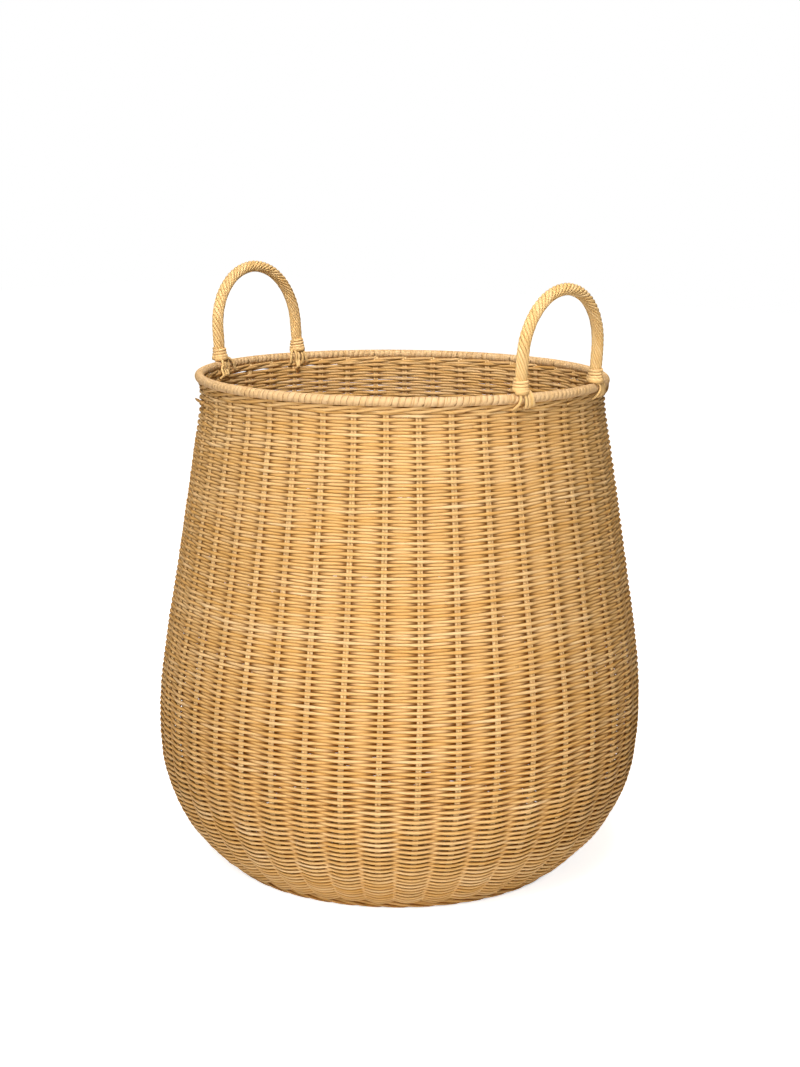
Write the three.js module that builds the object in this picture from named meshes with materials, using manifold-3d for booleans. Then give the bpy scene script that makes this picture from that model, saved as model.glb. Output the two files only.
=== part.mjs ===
// A round laundry basket of woven cane: wide belly, narrower mouth, wrapped rim and two roped handles.
// Millimetres, +Z up. It stands on z = 0 with its axis at x = y = 0 and its handles towards +X and -X.
// The weave itself is left out: the wall is a closed shell with a slot for each pair of stakes.

import * as THREE from 'three';
import { mergeVertices } from 'three/addons/utils/BufferGeometryUtils.js';
import Module from 'manifold-3d';

// Overall sizes
const BODY_HEIGHT = 496; // floor to the middle of the rim roll
const BELLY_RADIUS = 245.5; // outer face of the wall where it is widest
const FOOT_RADIUS = 169; // outer edge of the foot border
const RIM_RADIUS = 202; // middle of the rim roll
const HANDLE_RISE = 98.5; // middle of the rim roll to the middle of the handle's top
const HANDLE_SPREAD = 120; // between the middles of a handle's two legs
const HANDLE_LEAN = THREE.MathUtils.degToRad(4); // each handle tips outward this much

// Wall, base and stakes
const STAKE_PAIRS = 40;
const STAKE_CANE = 3.5; // one round stake, two stand side by side in a pair
const WALL_THICKNESS = 9.6; // a stake with a strand on each side of it
const STAKES_INSIDE_RIM = 3.8; // the wall's middle under the rim, inside the rim roll's middle
const BASE_THICKNESS = 8.4;
const BASE_CANE = 4; // one stick of the base cross
const BASE_STICKS = 5; // sticks side by side in each arm of the cross
const BASE_CROSS_LENGTH = 280;
const BORDER_RADIUS = 2.6; // half the thickness of the foot border's cane
const BORDER_FLAT = 0.5; // how much the border's underside is pressed flat

// Rim
const HOOP_RADIUS = 2.9;
const BINDING_INNER_RADIUS = 3.6;
const BINDING_OUTER_RADIUS = 4.9;
const BINDING_MOUTH = THREE.MathUtils.degToRad(50); // the slit in the wrapping where the stakes enter
const BINDING_MOUTH_SIDE = THREE.MathUtils.degToRad(225); // the slit looks down and inward
const WALE_BOTTOM = 0.9516; // where the last rows under the rim begin, as a share of the body height

// Handles
const CORE_RADIUS = 2.9;
const ROPING_INNER_RADIUS = 3.5;
const ROPING_RADIUS = 6.1;
const COLLAR_TURNS = 4;
const COLLAR_CANE_RADIUS = 1.55;
const COLLAR_PITCH = 3.6; // rise of the collar cane in one turn
const LASHING_THICKNESS = 2.8;
const LASHING_WIDTH = 18;
const LASHING_REACH = 20; // how far the lashing comes down the wall below the middle of the rim roll

// Clearances
const FIT = 0.3; // between pieces that touch on the real basket
const COLLAR_FIT = 0.35; // between a collar and the roping that it grips
const LASHING_FIT = 0.6; // outside the wall, whose sides between slots bow past the rim's straight sides

// Smoothness
const ARCH_STEPS = 14;
const RING_SIDES = 6; // round the hoop, its wrapping and the foot border
const CORE_SIDES = 6;
const ROPING_SIDES = 8;
const LASHING_STEPS = 6; // bends over the rim
const COLLAR_SIDES = 6;
const COLLAR_STEPS = 24; // in one turn
const SAME_POINT = 1e-4;

// The wall's outer face as pairs: height as a share of the body height, and swell.
// Below the belly the swell runs from 0 at the foot radius to 1, above it back to 0 under the rim.
const LOWER_OUTLINE = [[0.0252, 0.216], [0.0494, 0.379], [0.0847, 0.575], [0.135, 0.778], [0.2016, 0.928]];
const BELLY_HEIGHT = 0.3024;
const UPPER_OUTLINE = [[0.393, 0.965], [0.51, 0.788], [0.6956, 0.447]];
const WALL_FOOT_SWELL = 0.085;

const stakeStep = 2 * Math.PI / STAKE_PAIRS;
const borderMiddle = BORDER_RADIUS - BORDER_FLAT;
const wallBottom = borderMiddle + BORDER_RADIUS + FIT;
const wallTopRadius = RIM_RADIUS - STAKES_INSIDE_RIM + WALL_THICKNESS / 2;
const waleBottom = WALE_BOTTOM * BODY_HEIGHT;
const waleTop = BODY_HEIGHT - BINDING_OUTER_RADIUS - FIT;

const wasm = await Module();
wasm.setup();

const basket = new THREE.Group();
basket.name = 'laundry_basket';

function cane(color, roughness) {
  return new THREE.MeshStandardMaterial({ color, roughness, metalness: 0 });
}

function addPiece(name, geometry, color, roughness = 0.55) {
  const mesh = new THREE.Mesh(geometry, cane(color, roughness));
  mesh.name = name;
  basket.add(mesh);
}

// Gathers triangles and closes them into one body that faces outward
class Skin {
  constructor() {
    this.corners = [];
  }

  triangle(a, b, c) {
    this.corners.push(a, b, c);
  }

  // Joins rings that have the same number of points, each to the next one
  bands(rings) {
    for (let i = 0; i + 1 < rings.length; i += 1) {
      const low = rings[i];
      const high = rings[i + 1];
      low.forEach((point, j) => {
        const next = (j + 1) % low.length;
        this.triangle(point, low[next], high[next]);
        this.triangle(point, high[next], high[j]);
      });
    }
    return this;
  }

  // Closes an outline, with a hole in it if one is given, running the outline's way or turned against it
  face(outline, hole, flat, turned) {
    const outer = outline.map(flat);
    const inner = hole ? hole.map(flat) : [];
    const flatPoints = [...outer, ...inner];
    const points = hole ? outline.concat(hole) : outline;
    const wanted = THREE.ShapeUtils.area(outer) > 0 !== turned;
    for (const [a, b, c] of THREE.ShapeUtils.triangulateShape(outer, hole ? [inner] : [])) {
      const same = THREE.ShapeUtils.area([flatPoints[a], flatPoints[b], flatPoints[c]]) > 0 === wanted;
      if (same) this.triangle(points[a], points[b], points[c]);
      else this.triangle(points[a], points[c], points[b]);
    }
    return this;
  }

  geometry() {
    let volume = 0;
    for (let i = 0; i < this.corners.length; i += 3) {
      const [a, b, c] = this.corners.slice(i, i + 3);
      volume += a.dot(b.clone().cross(c));
    }
    const places = [];
    for (let i = 0; i < this.corners.length; i += 3) {
      const [a, b, c] = this.corners.slice(i, i + 3);
      const order = volume < 0 ? [a, c, b] : [a, b, c];
      order.forEach((p) => places.push(p.x, p.y, p.z));
    }
    const geometry = new THREE.BufferGeometry();
    geometry.setAttribute('position', new THREE.Float32BufferAttribute(places, 3));
    return mergeVertices(geometry, SAME_POINT);
  }
}

// A point at a radius and height on the half plane that stands at an angle, moved sideways along the ring
function around(angle, radius, height, sideways = 0) {
  const x = radius * Math.cos(angle) - sideways * Math.sin(angle);
  const y = radius * Math.sin(angle) + sideways * Math.cos(angle);
  return new THREE.Vector3(x, y, height);
}

const fromAbove = (p) => new THREE.Vector2(p.x, p.y);

// The basket's rings are drawn with one straight side for each pair of stakes
function sideFactor(angle) {
  const fromMiddle = ((angle % stakeStep) + stakeStep) % stakeStep - stakeStep / 2;
  return Math.cos(stakeStep / 2) / Math.cos(fromMiddle);
}

function fullRing(section) {
  const rings = [];
  for (let k = 0; k <= STAKE_PAIRS; k += 1) {
    const angle = (k % STAKE_PAIRS) * stakeStep;
    rings.push(section.map(([radius, height]) => around(angle, radius, height)));
  }
  return new Skin().bands(rings).geometry();
}

// Points on part of a circle about a middle, from one angle to another
function arc(middleRadius, middleHeight, radius, from, to, steps) {
  const points = [];
  for (let i = 0; i <= steps; i += 1) {
    const turn = from + (to - from) * i / steps;
    points.push([middleRadius + radius * Math.cos(turn), middleHeight + radius * Math.sin(turn)]);
  }
  return points;
}

// The outer face of the wall from bottom to top
function outerFace() {
  const lower = (swell) => FOOT_RADIUS + (BELLY_RADIUS - FOOT_RADIUS) * swell;
  const upper = (swell) => wallTopRadius + (BELLY_RADIUS - wallTopRadius) * swell;
  return [
    [lower(WALL_FOOT_SWELL), wallBottom],
    ...LOWER_OUTLINE.map(([share, swell]) => [lower(swell), share * BODY_HEIGHT]),
    [BELLY_RADIUS, BELLY_HEIGHT * BODY_HEIGHT],
    ...UPPER_OUTLINE.map(([share, swell]) => [upper(swell), share * BODY_HEIGHT]),
    [wallTopRadius, waleBottom - FIT],
  ];
}

// At each level the way into the wall for one millimetre of depth: level with the floor at both ends,
// so that the end faces are flat, and square to the wall between them.
function withInward(face) {
  const slope = (i) => {
    const [r0, z0] = face[i];
    const [r1, z1] = face[i + 1];
    return Math.atan2(r1 - r0, z1 - z0);
  };
  return face.map(([radius, height], i) => {
    const last = face.length - 1;
    if (i === 0 || i === last) {
      const end = slope(i === 0 ? 0 : last - 1);
      return { radius, height, inward: [-1 / Math.cos(end), 0] };
    }
    const mean = (slope(i - 1) + slope(i)) / 2;
    return { radius, height, inward: [-Math.cos(mean), Math.sin(mean)] };
  });
}

function atDepth(level, depth) {
  return [level.radius + level.inward[0] * depth, level.height + level.inward[1] * depth];
}

const slotHalfWidth = STAKE_CANE + FIT;
const slotDepth = WALL_THICKNESS / 2 + STAKE_CANE / 2 + FIT;

// A shell between the outer and inner faces, with an open slot in its outer face for each pair of stakes
function slottedShell(levels) {
  const outerRings = levels.map((level) => {
    const ring = [];
    for (let k = 0; k < STAKE_PAIRS; k += 1) {
      const angle = k * stakeStep;
      const brink = atDepth(level, 0);
      const floor = atDepth(level, slotDepth);
      ring.push(around(angle, ...brink, -slotHalfWidth));
      ring.push(around(angle, ...floor, -slotHalfWidth));
      ring.push(around(angle, ...floor, slotHalfWidth));
      ring.push(around(angle, ...brink, slotHalfWidth));
    }
    return ring;
  });
  const innerRings = levels.map((level) => {
    const ring = [];
    for (let k = 0; k < STAKE_PAIRS; k += 1) {
      ring.push(around(k * stakeStep, ...atDepth(level, WALL_THICKNESS)));
    }
    return ring;
  });
  const skin = new Skin().bands(outerRings).bands([...innerRings].reverse());
  const top = levels.length - 1;
  skin.face(outerRings[0], innerRings[0], fromAbove, true);
  skin.face(outerRings[top], innerRings[top], fromAbove, false);
  return skin.geometry();
}

// Wall
const wallLevels = withInward(outerFace());
const waleLevels = withInward([[wallTopRadius, waleBottom], [wallTopRadius, waleTop]]);
addPiece('wall_weave', slottedShell(wallLevels), '#c9974f');
addPiece('top_wale', slottedShell(waleLevels), '#c08c45');

// Stakes: two round canes side by side, following the middle of the wall
const stakeLevels = [...wallLevels, waleLevels[waleLevels.length - 1]];

function stakePair(angle) {
  const half = STAKE_CANE / 2;
  const outline = [[-STAKE_CANE, 0], [-half, half], [half, half], [STAKE_CANE, 0], [half, -half], [-half, -half]];
  const rings = stakeLevels.map((level) => outline.map(([sideways, deeper]) => {
    return around(angle, ...atDepth(level, WALL_THICKNESS / 2 + deeper), sideways);
  }));
  const flat = (p) => fromAbove(p.clone().applyAxisAngle(new THREE.Vector3(0, 0, 1), -angle));
  return new Skin()
    .bands(rings)
    .face(rings[0], null, flat, true)
    .face(rings[rings.length - 1], null, flat, false)
    .geometry();
}

for (let k = 0; k < STAKE_PAIRS; k += 1) {
  const number = String(k + 1).padStart(2, '0');
  addPiece(`stake_pair_${number}`, stakePair(k * stakeStep), '#dcb470');
}

// Foot border: a ring of cane under the wall, flat where it stands
const flatTurn = Math.asin(borderMiddle / BORDER_RADIUS);
const borderSection = arc(FOOT_RADIUS - BORDER_RADIUS, borderMiddle, BORDER_RADIUS,
  -flatTurn, Math.PI + flatTurn, RING_SIDES);
addPiece('foot_border', fullRing(borderSection), '#bd8a44');

// Base: a woven disc inside the wall's foot, with a cross of sticks let into its underside
const [innerFootRadius] = atDepth(wallLevels[0], WALL_THICKNESS);
const [innerNextRadius, innerNextHeight] = atDepth(wallLevels[1], WALL_THICKNESS);
const innerSlope = (innerNextRadius - innerFootRadius) / (innerNextHeight - wallBottom);
const baseRadius = innerFootRadius - FIT * Math.hypot(1, innerSlope);
const baseTop = wallBottom + BASE_THICKNESS;

function toSolid(geometry) {
  const merged = mergeVertices(geometry, SAME_POINT);
  return new wasm.Manifold(new wasm.Mesh({
    numProp: 3,
    vertProperties: new Float32Array(merged.attributes.position.array),
    triVerts: new Uint32Array(merged.index.array),
  }));
}

function toGeometry(solid) {
  const mesh = solid.getMesh();
  const geometry = new THREE.BufferGeometry();
  geometry.setAttribute('position', new THREE.BufferAttribute(mesh.vertProperties, 3));
  geometry.setIndex(new THREE.BufferAttribute(mesh.triVerts, 1));
  return geometry;
}

function disc() {
  const rim = (radius, height) => {
    const ring = [];
    for (let k = 0; k < STAKE_PAIRS; k += 1) ring.push(around(k * stakeStep, radius, height));
    return ring;
  };
  const low = rim(baseRadius, wallBottom);
  const high = rim(baseRadius + BASE_THICKNESS * innerSlope, baseTop);
  return new Skin().bands([low, high]).face(low, null, fromAbove, true).face(high, null, fromAbove, false);
}

function cross(spare) {
  const arm = BASE_CROSS_LENGTH / 2 + spare;
  const half = BASE_STICKS * BASE_CANE / 2 + spare;
  const shape = new THREE.Shape();
  shape.moveTo(arm, -half);
  [[arm, half], [half, half], [half, arm], [-half, arm], [-half, half], [-arm, half], [-arm, -half],
    [-half, -half], [-half, -arm], [half, -arm], [half, -half]].forEach(([x, y]) => shape.lineTo(x, y));
  const below = spare > 0 ? BASE_CANE : 0;
  const solid = new THREE.ExtrudeGeometry(shape, { depth: below + BASE_CANE + spare, bevelEnabled: false });
  solid.deleteAttribute('normal');
  solid.deleteAttribute('uv');
  return solid.translate(0, 0, wallBottom - below);
}

const baseSolid = toSolid(disc().geometry()).subtract(toSolid(cross(FIT)));
addPiece('base_weave', toGeometry(baseSolid), '#c9974f');
addPiece('base_cross', mergeVertices(cross(0), SAME_POINT), '#b98a4a');

// Rim: a hoop, and the peel wrapped round it with a slit where the stakes come up
const hoopSection = arc(RIM_RADIUS, BODY_HEIGHT, HOOP_RADIUS, 0, 2 * Math.PI, RING_SIDES).slice(1);
addPiece('rim_hoop', fullRing(hoopSection), '#b98a4a');
const wrapFrom = BINDING_MOUTH_SIDE + BINDING_MOUTH / 2;
const wrapTo = BINDING_MOUTH_SIDE - BINDING_MOUTH / 2 + 2 * Math.PI;
const bindingSection = [
  ...arc(RIM_RADIUS, BODY_HEIGHT, BINDING_OUTER_RADIUS, wrapFrom, wrapTo, RING_SIDES),
  ...arc(RIM_RADIUS, BODY_HEIGHT, BINDING_INNER_RADIUS, wrapTo, wrapFrom, RING_SIDES),
];
addPiece('rim_binding', fullRing(bindingSection), '#ddb169', 0.42);

// Both edges of a strip that follows a line and has a thickness
function strip(line, thickness) {
  const edge = (side) => line.map((point, i) => {
    const before = line[Math.max(i - 1, 0)];
    const after = line[Math.min(i + 1, line.length - 1)];
    const way = new THREE.Vector2(after[0] - before[0], after[1] - before[1]).normalize();
    return [point[0] - way.y * side * thickness / 2, point[1] + way.x * side * thickness / 2];
  });
  return [...edge(1), ...edge(-1).reverse()];
}

// Lashing: the roping's strands spread over the rim and go down both faces of the wall under each leg
const lashingBend = Math.PI / LASHING_STEPS;
const overRim = (BINDING_OUTER_RADIUS + FIT) / Math.cos(lashingBend / 2) + LASHING_THICKNESS / 2;
const lashingTop = BODY_HEIGHT + overRim + LASHING_THICKNESS / 2;
const lashingLine = () => {
  const inside = wallTopRadius - WALL_THICKNESS - FIT - LASHING_THICKNESS / 2;
  const outside = wallTopRadius + LASHING_FIT + LASHING_THICKNESS / 2;
  return [
    [inside, BODY_HEIGHT - LASHING_REACH],
    [inside, waleTop + FIT],
    ...arc(RIM_RADIUS, BODY_HEIGHT, overRim, Math.PI, 0, LASHING_STEPS),
    [RIM_RADIUS + overRim, BODY_HEIGHT - BINDING_OUTER_RADIUS],
    [outside, waleTop - overRim],
    [outside, BODY_HEIGHT - LASHING_REACH],
  ];
};

const lashingSection = strip(lashingLine(), LASHING_THICKNESS);

function lashing(middleAngle) {
  const halfAngle = LASHING_WIDTH / 2 / RIM_RADIUS;
  const nearestStake = Math.round(middleAngle / stakeStep) * stakeStep;
  const stops = [middleAngle - halfAngle, middleAngle + halfAngle, nearestStake];
  const rings = stops.sort((a, b) => a - b).map((angle) => {
    return lashingSection.map(([radius, height]) => around(angle, radius * sideFactor(angle), height));
  });
  const flat = (p) => new THREE.Vector2(Math.hypot(p.x, p.y), p.z);
  return new Skin()
    .bands(rings)
    .face(rings[0], null, flat, true)
    .face(rings[rings.length - 1], null, flat, false)
    .geometry();
}

// Handles, each drawn standing on the line between its feet: x outward, y along the rim, z up
const legAngle = Math.asin(HANDLE_SPREAD / 2 / RIM_RADIUS);
const handleFoot = lashingTop + FIT + ROPING_RADIUS * Math.sin(HANDLE_LEAN);
const archRadius = HANDLE_SPREAD / 2;
const legHeight = BODY_HEIGHT + HANDLE_RISE - handleFoot - archRadius;

// Middle points of the arch with the way across it, from one foot over the top to the other
function archStations() {
  const stations = [{ middle: new THREE.Vector3(0, archRadius, 0), turn: 0 }];
  for (let i = 0; i <= ARCH_STEPS; i += 1) {
    const turn = Math.PI * i / ARCH_STEPS;
    const y = archRadius * Math.cos(turn);
    const z = legHeight + archRadius * Math.sin(turn);
    stations.push({ middle: new THREE.Vector3(0, y, z), turn });
  }
  stations.push({ middle: new THREE.Vector3(0, -archRadius, 0), turn: Math.PI });
  return stations;
}

function archRings(radius, sides) {
  return archStations().map(({ middle, turn }) => {
    const across = new THREE.Vector3(0, Math.cos(turn), Math.sin(turn));
    const ring = [];
    for (let j = 0; j < sides; j += 1) {
      const side = 2 * Math.PI * j / sides;
      const point = middle.clone().addScaledVector(across, radius * Math.cos(side));
      point.x += radius * Math.sin(side);
      ring.push(point);
    }
    return ring;
  });
}

function handleCore() {
  const rings = archRings(CORE_RADIUS, CORE_SIDES);
  const flat = (p) => new THREE.Vector2(p.x, p.y);
  return new Skin()
    .bands(rings)
    .face(rings[0], null, flat, true)
    .face(rings[rings.length - 1], null, flat, false)
    .geometry();
}

function handleRoping() {
  const outer = archRings(ROPING_RADIUS, ROPING_SIDES);
  const inner = archRings(ROPING_INNER_RADIUS, ROPING_SIDES).reverse();
  return new Skin().bands([...outer, ...inner, outer[0]]).geometry();
}

// Collar: one cane wound round the leg, its ends running straight off for a cane's thickness
function collarLine() {
  const radius = ROPING_RADIUS + COLLAR_FIT + COLLAR_CANE_RADIUS;
  const bottom = COLLAR_CANE_RADIUS + FIT;
  const place = (turn) => {
    const height = bottom + COLLAR_PITCH * turn / (2 * Math.PI);
    return new THREE.Vector3(radius * Math.cos(turn), radius * Math.sin(turn), height);
  };
  const way = (turn) => {
    const rise = COLLAR_PITCH / (2 * Math.PI);
    return new THREE.Vector3(-radius * Math.sin(turn), radius * Math.cos(turn), rise).normalize();
  };
  const stations = [];
  const whole = COLLAR_TURNS * COLLAR_STEPS;
  for (let i = 0; i <= whole; i += 1) {
    const turn = 2 * Math.PI * i / COLLAR_STEPS;
    stations.push({ middle: place(turn), along: way(turn), turn });
  }
  const endRun = 2 * COLLAR_CANE_RADIUS;
  const first = stations[0];
  const last = stations[whole];
  const lead = { ...first, middle: first.middle.clone().addScaledVector(first.along, -endRun) };
  const tail = { ...last, middle: last.middle.clone().addScaledVector(last.along, endRun) };
  return [lead, ...stations, tail];
}

function collarRings() {
  return collarLine().map(({ middle, along, turn }) => {
    const out = new THREE.Vector3(Math.cos(turn), Math.sin(turn), 0);
    const up = along.clone().cross(out).negate();
    const ring = [];
    for (let j = 0; j < COLLAR_SIDES; j += 1) {
      const side = 2 * Math.PI * j / COLLAR_SIDES;
      const point = middle.clone().addScaledVector(out, COLLAR_CANE_RADIUS * Math.cos(side));
      ring.push(point.addScaledVector(up, COLLAR_CANE_RADIUS * Math.sin(side)));
    }
    return ring;
  });
}

// Least distance between surface points of the collar that lie half a turn or more apart along it
function leastCollarGap(rings) {
  const apart = COLLAR_STEPS / 2;
  let least = Infinity;
  rings.forEach((ring, i) => {
    rings.slice(i + apart).forEach((other) => {
      ring.forEach((p) => other.forEach((q) => {
        least = Math.min(least, p.distanceTo(q));
      }));
    });
  });
  return least;
}

function collar() {
  const rings = collarRings();
  const end = (ring) => {
    const middle = ring.reduce((sum, p) => sum.add(p), new THREE.Vector3()).divideScalar(ring.length);
    const a = ring[0].clone().sub(middle).normalize();
    const b = ring[1].clone().sub(middle);
    b.addScaledVector(a, -b.dot(a)).normalize();
    return (p) => new THREE.Vector2(p.clone().sub(middle).dot(a), p.clone().sub(middle).dot(b));
  };
  const lastRing = rings[rings.length - 1];
  return new Skin()
    .bands(rings)
    .face(rings[0], null, end(rings[0]), true)
    .face(lastRing, null, end(lastRing), false)
    .geometry();
}

console.log('least gap between turns of a collar, mm:', leastCollarGap(collarRings()).toFixed(3));

const handleSides = [['right', 0], ['left', Math.PI]];
const footLine = Math.sqrt(RIM_RADIUS ** 2 - archRadius ** 2);

for (const [side, facing] of handleSides) {
  // Tips a piece outward about the line between the feet, then carries it to its side of the rim
  const settle = (geometry) => geometry
    .rotateY(HANDLE_LEAN)
    .translate(footLine, 0, handleFoot)
    .rotateZ(facing);
  addPiece(`handle_${side}_core`, settle(handleCore()), '#b98a4a');
  addPiece(`handle_${side}_roping`, settle(handleRoping()), '#cf9c52', 0.5);
  for (const [end, sign] of [['first', 1], ['second', -1]]) {
    const onLeg = collar().translate(0, sign * archRadius, 0);
    addPiece(`handle_${side}_${end}_collar`, settle(onLeg), '#dcb06a', 0.45);
    addPiece(`handle_${side}_${end}_lashing`, lashing(facing + sign * legAngle), '#c9974f', 0.5);
  }
}

export default basket;
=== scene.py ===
# %% [markdown]
# # A laundry basket of woven cane
# The basket is one long weave round forty pairs of upright stakes, with a bound rim,
# a rolled foot and two roped handles. Each cane is a tube or strip, laid on the path that
# the maker's hand gives it, so the gaps and shadows come from the weave itself. A smooth
# wall with a bumpy finish would be quicker, but its outline would be smooth and no light
# would fall through it. Each piece stands where its part of the CAD model stands.

import math

import bpy
import numpy as np
from mathutils import Matrix, Vector


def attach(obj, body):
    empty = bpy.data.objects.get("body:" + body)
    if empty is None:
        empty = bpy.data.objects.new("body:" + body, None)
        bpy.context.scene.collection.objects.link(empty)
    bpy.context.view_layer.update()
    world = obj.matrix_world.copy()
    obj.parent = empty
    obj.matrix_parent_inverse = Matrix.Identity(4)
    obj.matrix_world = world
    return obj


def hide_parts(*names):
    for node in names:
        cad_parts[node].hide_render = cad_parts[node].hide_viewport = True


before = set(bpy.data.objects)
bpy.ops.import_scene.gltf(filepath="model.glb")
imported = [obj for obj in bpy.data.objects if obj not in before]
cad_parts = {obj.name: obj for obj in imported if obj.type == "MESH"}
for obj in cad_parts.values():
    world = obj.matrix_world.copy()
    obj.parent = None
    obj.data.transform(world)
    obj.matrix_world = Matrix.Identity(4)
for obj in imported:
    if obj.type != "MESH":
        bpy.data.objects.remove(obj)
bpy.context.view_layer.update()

# %% [markdown]
# ## Sizes
# A basket maker works in millimetres, and so do these sizes, until a mesh is made. The
# outline is a short list of heights and outside radii, joined by a smooth curve, because
# a hand-woven wall has no straight stretch.

# %% Sizes of the basket in millimetres
MM = 0.001
RIM_HEIGHT = 496.0  # floor to the middle of the rim roll
RIM_RADIUS = 202.0  # axis to the middle of the rim roll
STAKE_COUNT = 40  # pairs of upright canes
STRAND_RADIUS = 1.44
STRAND_DEPTH = 1.25  # half a strand's thickness from the wall's face inwards
ROW_RISE = 5.77  # what one strand climbs in a full turn
OUTLINE_HEIGHTS = [0, 9.9, 24.8, 44.6, 69.5, 99.2, 138.9, 183.6, 233.2, 287.7, 357.2, 426.6, 472, 491]
OUTLINE_RADII = [168.8, 182.5, 198.4, 215.3, 229.5, 239.8, 245.2, 245.1, 239.7, 231.1, 220.2, 209.5, 203, 203]
print("stakes", STAKE_COUNT, "strand", 2 * STRAND_RADIUS, "mm")

# %% Directions
TURN = 2 * math.pi
ALL_ROUND = np.linspace(0, TURN, 241)[:-1]  # the angles of a closed ring
CAMERA_SIDE = math.radians(50.5)  # the camera stands this far clockwise of the +X axis
UP = np.array([0.0, 0.0, 1.0])
AWAY = np.array([-math.cos(CAMERA_SIDE), math.sin(CAMERA_SIDE), 0.0])  # from camera to basket
PICTURE_RIGHT = np.array([math.sin(CAMERA_SIDE), math.cos(CAMERA_SIDE), 0.0])
print("the picture's right is", np.round(PICTURE_RIGHT, 3))

# %% [markdown]
# ## Curves and drifts
# Nothing on a hand-made basket is quite even. These helpers draw smooth curves, ease from
# one state to the next, and add slow random drifts, each with a seed of its own, so that
# the basket comes out the same every time.

# %% A smooth curve and a smooth step
def smooth_through(x_knots, y_knots, x):
    """A smooth curve through the knots, with the slope at each knot taken from its neighbours."""
    x_knots, y_knots = np.asarray(x_knots, float), np.asarray(y_knots, float)
    slopes = np.gradient(y_knots, x_knots)
    span = np.clip(np.searchsorted(x_knots, x) - 1, 0, len(x_knots) - 2)
    width = x_knots[span + 1] - x_knots[span]
    t = (x - x_knots[span]) / width
    start = (1 + 2 * t) * (1 - t) ** 2 * y_knots[span] + t * (1 - t) ** 2 * width * slopes[span]
    end = t * t * (3 - 2 * t) * y_knots[span + 1] + t * t * (t - 1) * width * slopes[span + 1]
    return start + end


def eased(t):
    """0 up to 0, 1 from 1 on, and a smooth step between them."""
    t = np.clip(t, 0, 1)
    return t * t * (3 - 2 * t)


def near(value, middle, width):
    """1 at the middle, and falling off to nothing about two widths away."""
    return np.exp(-(((value - middle) / width) ** 2))


print("a smooth step, a quarter of the way:", eased(0.25))


# %% Drifts
FIELD_ROWS = 40


def dice(seed):
    """Random numbers that come out the same each time."""
    return np.random.default_rng(seed)


def wander(seed, count, step, reach):
    """A slow random drift of `count` values, with a new random target each `step` values."""
    targets = dice(seed).uniform(-reach, reach, int(count / step) + 3)
    place = np.arange(count) / step
    whole = place.astype(int)
    onward = eased(place - whole)
    return targets[whole] * (1 - onward) + targets[whole + 1] * onward


def drift_field(seed, place, level, reach, stakes_apart=2.5, level_apart=24.0):
    """A slow drift over the whole wall: neighbouring strands share it, as packed rows do."""
    columns = int(STAKE_COUNT / stakes_apart)
    grid = dice(seed).uniform(-reach, reach, (columns, FIELD_ROWS))
    x = (place / stakes_apart) % columns
    y = np.clip(level / level_apart, 0, FIELD_ROWS - 2)
    i, j = x.astype(int), y.astype(int)
    u, v = eased(x - i), eased(y - j)
    low = grid[i, j] * (1 - u) + grid[(i + 1) % columns, j] * u
    high = grid[i, j + 1] * (1 - u) + grid[(i + 1) % columns, j + 1] * u
    return low * (1 - v) + high * v


print("a drift of up to 1 mm:", np.round(wander(1, 5, 2, 1.0), 2))

# %% [markdown]
# ## The wall as a map
# Every woven piece is placed by three numbers: how far up along the wall, which way
# round, and how far out from the wall's middle. One function turns them into a point, so
# a strand's path is only a list of such numbers.

# %% The wall's outline
wall_z = np.linspace(0, OUTLINE_HEIGHTS[-1], 2001)
wall_r = smooth_through(OUTLINE_HEIGHTS, OUTLINE_RADII, wall_z)
wall_up = np.concatenate([[0], np.cumsum(np.hypot(np.diff(wall_z), np.diff(wall_r)))])
out_r = np.gradient(wall_z, wall_up)  # with out_z, the way straight out of the wall
out_z = -np.gradient(wall_r, wall_up)
REACH_HEIGHTS, REACHES = [0, 50, 130, 260], [3.2, 3.0, 2.4, 2.05]


def up_at(z):
    """How far up the wall, along it, the height z is."""
    return np.interp(z, wall_z, wall_up)


def height_at(up):
    """The height of the place that is this far up the wall, along it."""
    return np.interp(up, wall_up, wall_z)


def reach_at(up):
    """How far a strand swings either side of the stakes: further near the foot."""
    return np.interp(height_at(up), REACH_HEIGHTS, REACHES)


print("length of the wall from foot to rim:", round(wall_up[-1], 1), "mm")

# %% Points on the wall
SWAY, SWAY_BACK = 9.93, 13.26  # the two parts of the body's sideways drift


def lean(z):
    """The basket isn't quite upright: its rings drift sideways by a few millimetres."""
    t = 1 - z / RIM_HEIGHT
    return (SWAY * t - SWAY_BACK * t * t)[..., None] * PICTURE_RIGHT


def outward(angle):
    """Unit vectors that point straight out at these angles."""
    return np.stack([np.cos(angle), np.sin(angle), np.zeros_like(angle)], -1)


def point_at(angle, radius, z):
    """Points at this angle, this far from the axis and this high."""
    point = outward(angle) * np.broadcast_to(radius, angle.shape)[..., None]
    point[..., 2] += z
    return point


def wall_point(up, angle, out):
    """Points this far up the wall, at this angle, this far out from the wall's middle."""
    depth = out - reach_at(up) - STRAND_DEPTH
    z = height_at(up) + depth * np.interp(up, wall_up, out_z)
    r = np.interp(up, wall_up, wall_r) + depth * np.interp(up, wall_up, out_r)
    z = z + np.maximum(up - wall_up[-1], 0)
    return point_at(angle, r, z) + lean(z)


def wall_face(up, angle):
    """The way straight out of the wall there."""
    tilt = np.interp(up, wall_up, out_z)
    face = outward(angle) * np.sqrt(1 - tilt * tilt)[..., None]
    face[..., 2] += tilt
    return face


print("the foot stands aside by", np.round(lean(np.zeros(1)), 1), "mm")

# %% [markdown]
# ## Where the stakes stand
# The stakes of a hand-made basket are never quite evenly spaced. A slow wave moves them
# round by a few degrees, and a strand's path uses the same wave, so that it always swings
# round the stakes where they are.

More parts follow.
